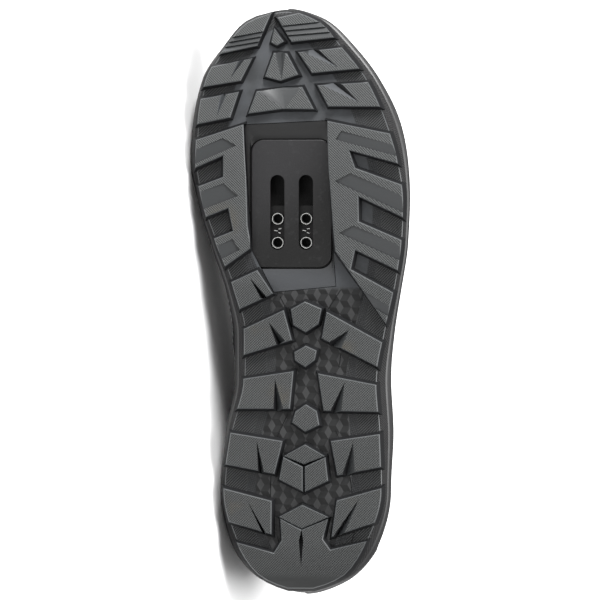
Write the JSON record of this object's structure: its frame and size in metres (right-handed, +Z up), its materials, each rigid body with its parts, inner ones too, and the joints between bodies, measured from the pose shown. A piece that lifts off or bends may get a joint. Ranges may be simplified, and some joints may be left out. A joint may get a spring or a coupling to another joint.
{
  "type": "cycling shoe",
  "caption": "Left trail cycling shoe lying on its medial side, with a lugged rubber outsole, a recessed cleat bed with two slots, hollow upper, tongue and hook-and-loop straps.",
  "frame": {"origin": "middle of the underside of the box around the lying shoe, on the surface that it lies on", "axes": "+X along the shoe from toe to heel; -Y the way the sole faces; +Z up through the lateral side"},
  "size_m": [0.2864, 0.1028, 0.1051],
  "materials": {
    "tread_rubber": "matte",
    "midsole": "matte",
    "nylon": "satin",
    "steel": "satin",
    "upper": "matte",
    "lining": "matte",
    "overlay": "satin",
    "webbing": "matte"
  },
  "bodies": {
    "shoe": {"outsole": "tread_rubber", "midsole": "midsole", "cleat_plate": "nylon", "upper": "upper", "insole": "lining", "tongue": "lining", "toe_cap": "overlay", "heel_counter": "overlay", "strap_upper": "webbing", "strap_middle": "webbing", "strap_lower": "webbing"},
    "cleat_nut": {"cleat_nut": "steel"}
  },
  "joints": [
    {"name": "nut_slide", "type": "slide", "parent": "shoe", "child": "cleat_nut", "axis": [-0.9967, 0, 0.0811], "range_m": [0, 0.0179]}
  ]
}
